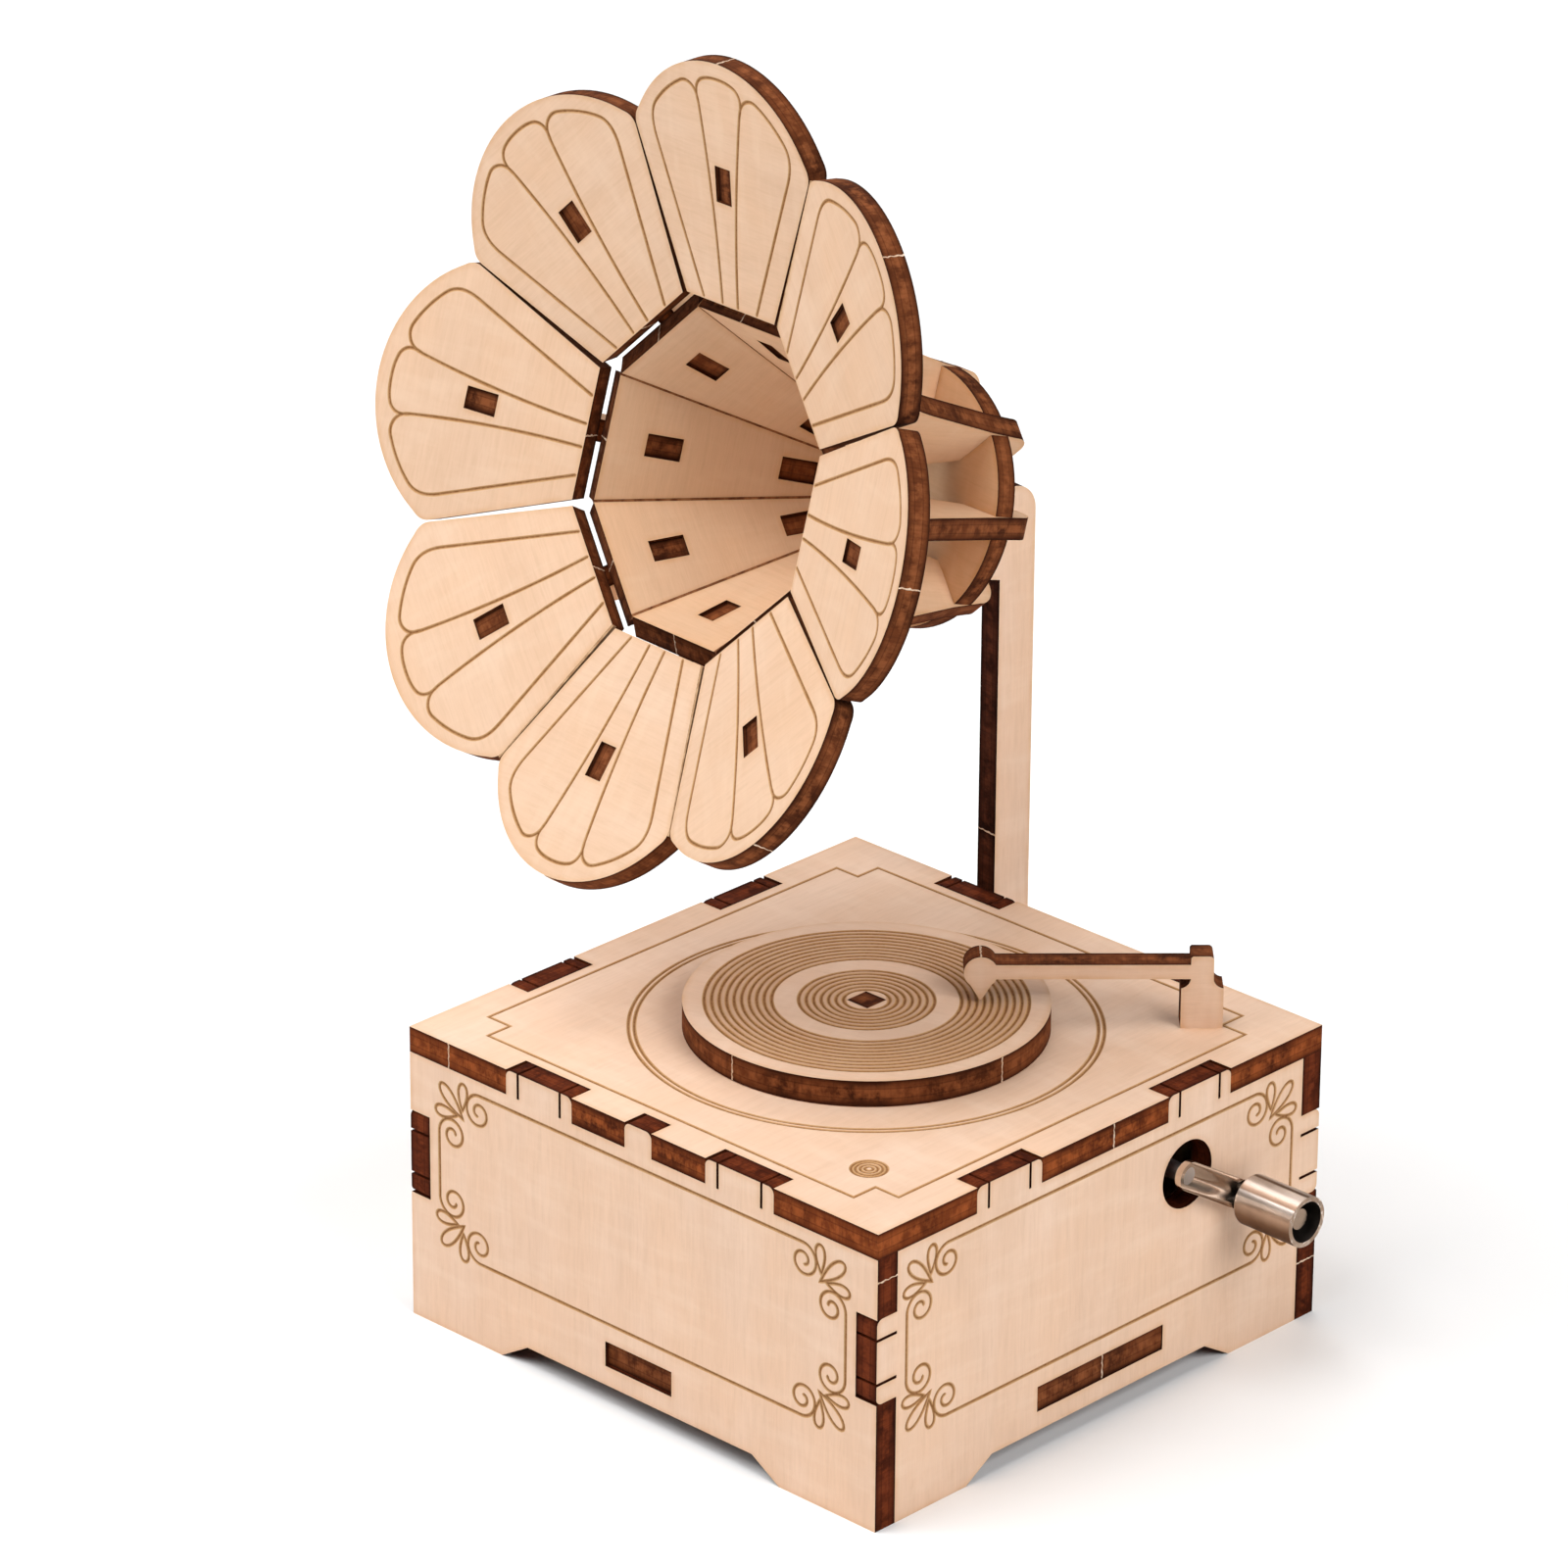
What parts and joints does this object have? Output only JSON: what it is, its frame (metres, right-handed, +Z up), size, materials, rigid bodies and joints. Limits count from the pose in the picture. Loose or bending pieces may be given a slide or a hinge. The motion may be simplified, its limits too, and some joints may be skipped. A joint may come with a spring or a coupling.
{
  "type": "hand crank music box",
  "caption": "Hand-cranked music box shaped as a small laser-cut plywood gramophone: square case, record, tonearm, petal horn on a post, metal crank.",
  "frame": {"origin": "on the ground, under the middle of the square case", "axes": "+X out of the case's side with the crank, -Y the way the horn faces, +Z up"},
  "size_m": [0.1112, 0.0753, 0.1401],
  "materials": {
    "plywood": "pale basswood plywood, laser-cut with burnt brown edges",
    "chrome": "polished nickel or chrome plating",
    "steel": "plain ground steel",
    "brass": "turned brass",
    "white_plastic": "moulded acetal",
    "cast_metal": "zinc-plated plate and castings"
  },
  "bodies": {
    "root": {"top_plate": "plywood", "bottom_plate": "plywood", "front_panel": "plywood", "back_panel": "plywood", "crank_side_panel": "plywood", "plain_side_panel": "plywood", "tonearm": "plywood", "petal_1": "plywood", "petal_2": "plywood", "petal_3": "plywood", "petal_4": "plywood", "petal_5": "plywood", "petal_6": "plywood", "petal_7": "plywood", "petal_8": "plywood", "cone_panel_1": "plywood", "cone_panel_2": "plywood", "cone_panel_3": "plywood", "cone_panel_4": "plywood", "cone_panel_5": "plywood", "cone_panel_6": "plywood", "cone_panel_7": "plywood", "cone_panel_8": "plywood", "horn_rib_1": "plywood", "horn_rib_2": "plywood", "horn_rib_3": "plywood", "horn_rib_4": "plywood", "horn_rib_5": "plywood", "horn_rib_6": "plywood", "horn_rib_7": "plywood", "horn_rib_8": "plywood", "horn_back_disc": "plywood", "horn_post": "plywood", "comb": "steel", "comb_screws": "steel", "bracket_screws": "steel", "base_screws": "steel", "comb_block": "cast_metal", "cylinder_bracket_front": "cast_metal", "cylinder_bracket_back": "cast_metal", "worm_bracket_inner": "cast_metal", "worm_bracket_outer": "cast_metal", "movement_base": "cast_metal"},
    "crank": {"crank_arm": "chrome", "crank_shaft": "steel", "crank_worm": "brass", "knob_rivet": "chrome"},
    "knob": {"crank_knob": "chrome"},
    "cylinder": {"music_cylinder": "brass", "cylinder_cap_front": "brass", "cylinder_cap_back": "brass", "cylinder_shaft": "steel", "cylinder_pins": "steel", "worm_wheel": "white_plastic"},
    "record": {"record_disc": "plywood", "record_spindle": "plywood", "spindle_washer": "plywood"}
  },
  "joints": [
    {"name": "crank_turn", "type": "hinge", "parent": "root", "child": "crank", "pos_m": [0.036, 0.0117, 0.0256], "axis": [1, 0, 0], "continuous": true},
    {"name": "knob_spin", "type": "hinge", "parent": "crank", "child": "knob", "pos_m": [0.041, 0.0213, 0.01965], "axis": [1, 0, 0], "continuous": true},
    {"name": "cylinder_turn", "type": "hinge", "parent": "root", "child": "cylinder", "pos_m": [0.005, 0, 0.0179], "axis": [0, 1, 0], "continuous": true},
    {"name": "record_turn", "type": "hinge", "parent": "root", "child": "record", "pos_m": [0, 0, 0.035], "axis": [0, 0, 1], "continuous": true}
  ],
  "couplings": [
    {"joint": "cylinder_turn", "follows": "crank_turn", "ratio": -0.05}
  ]
}
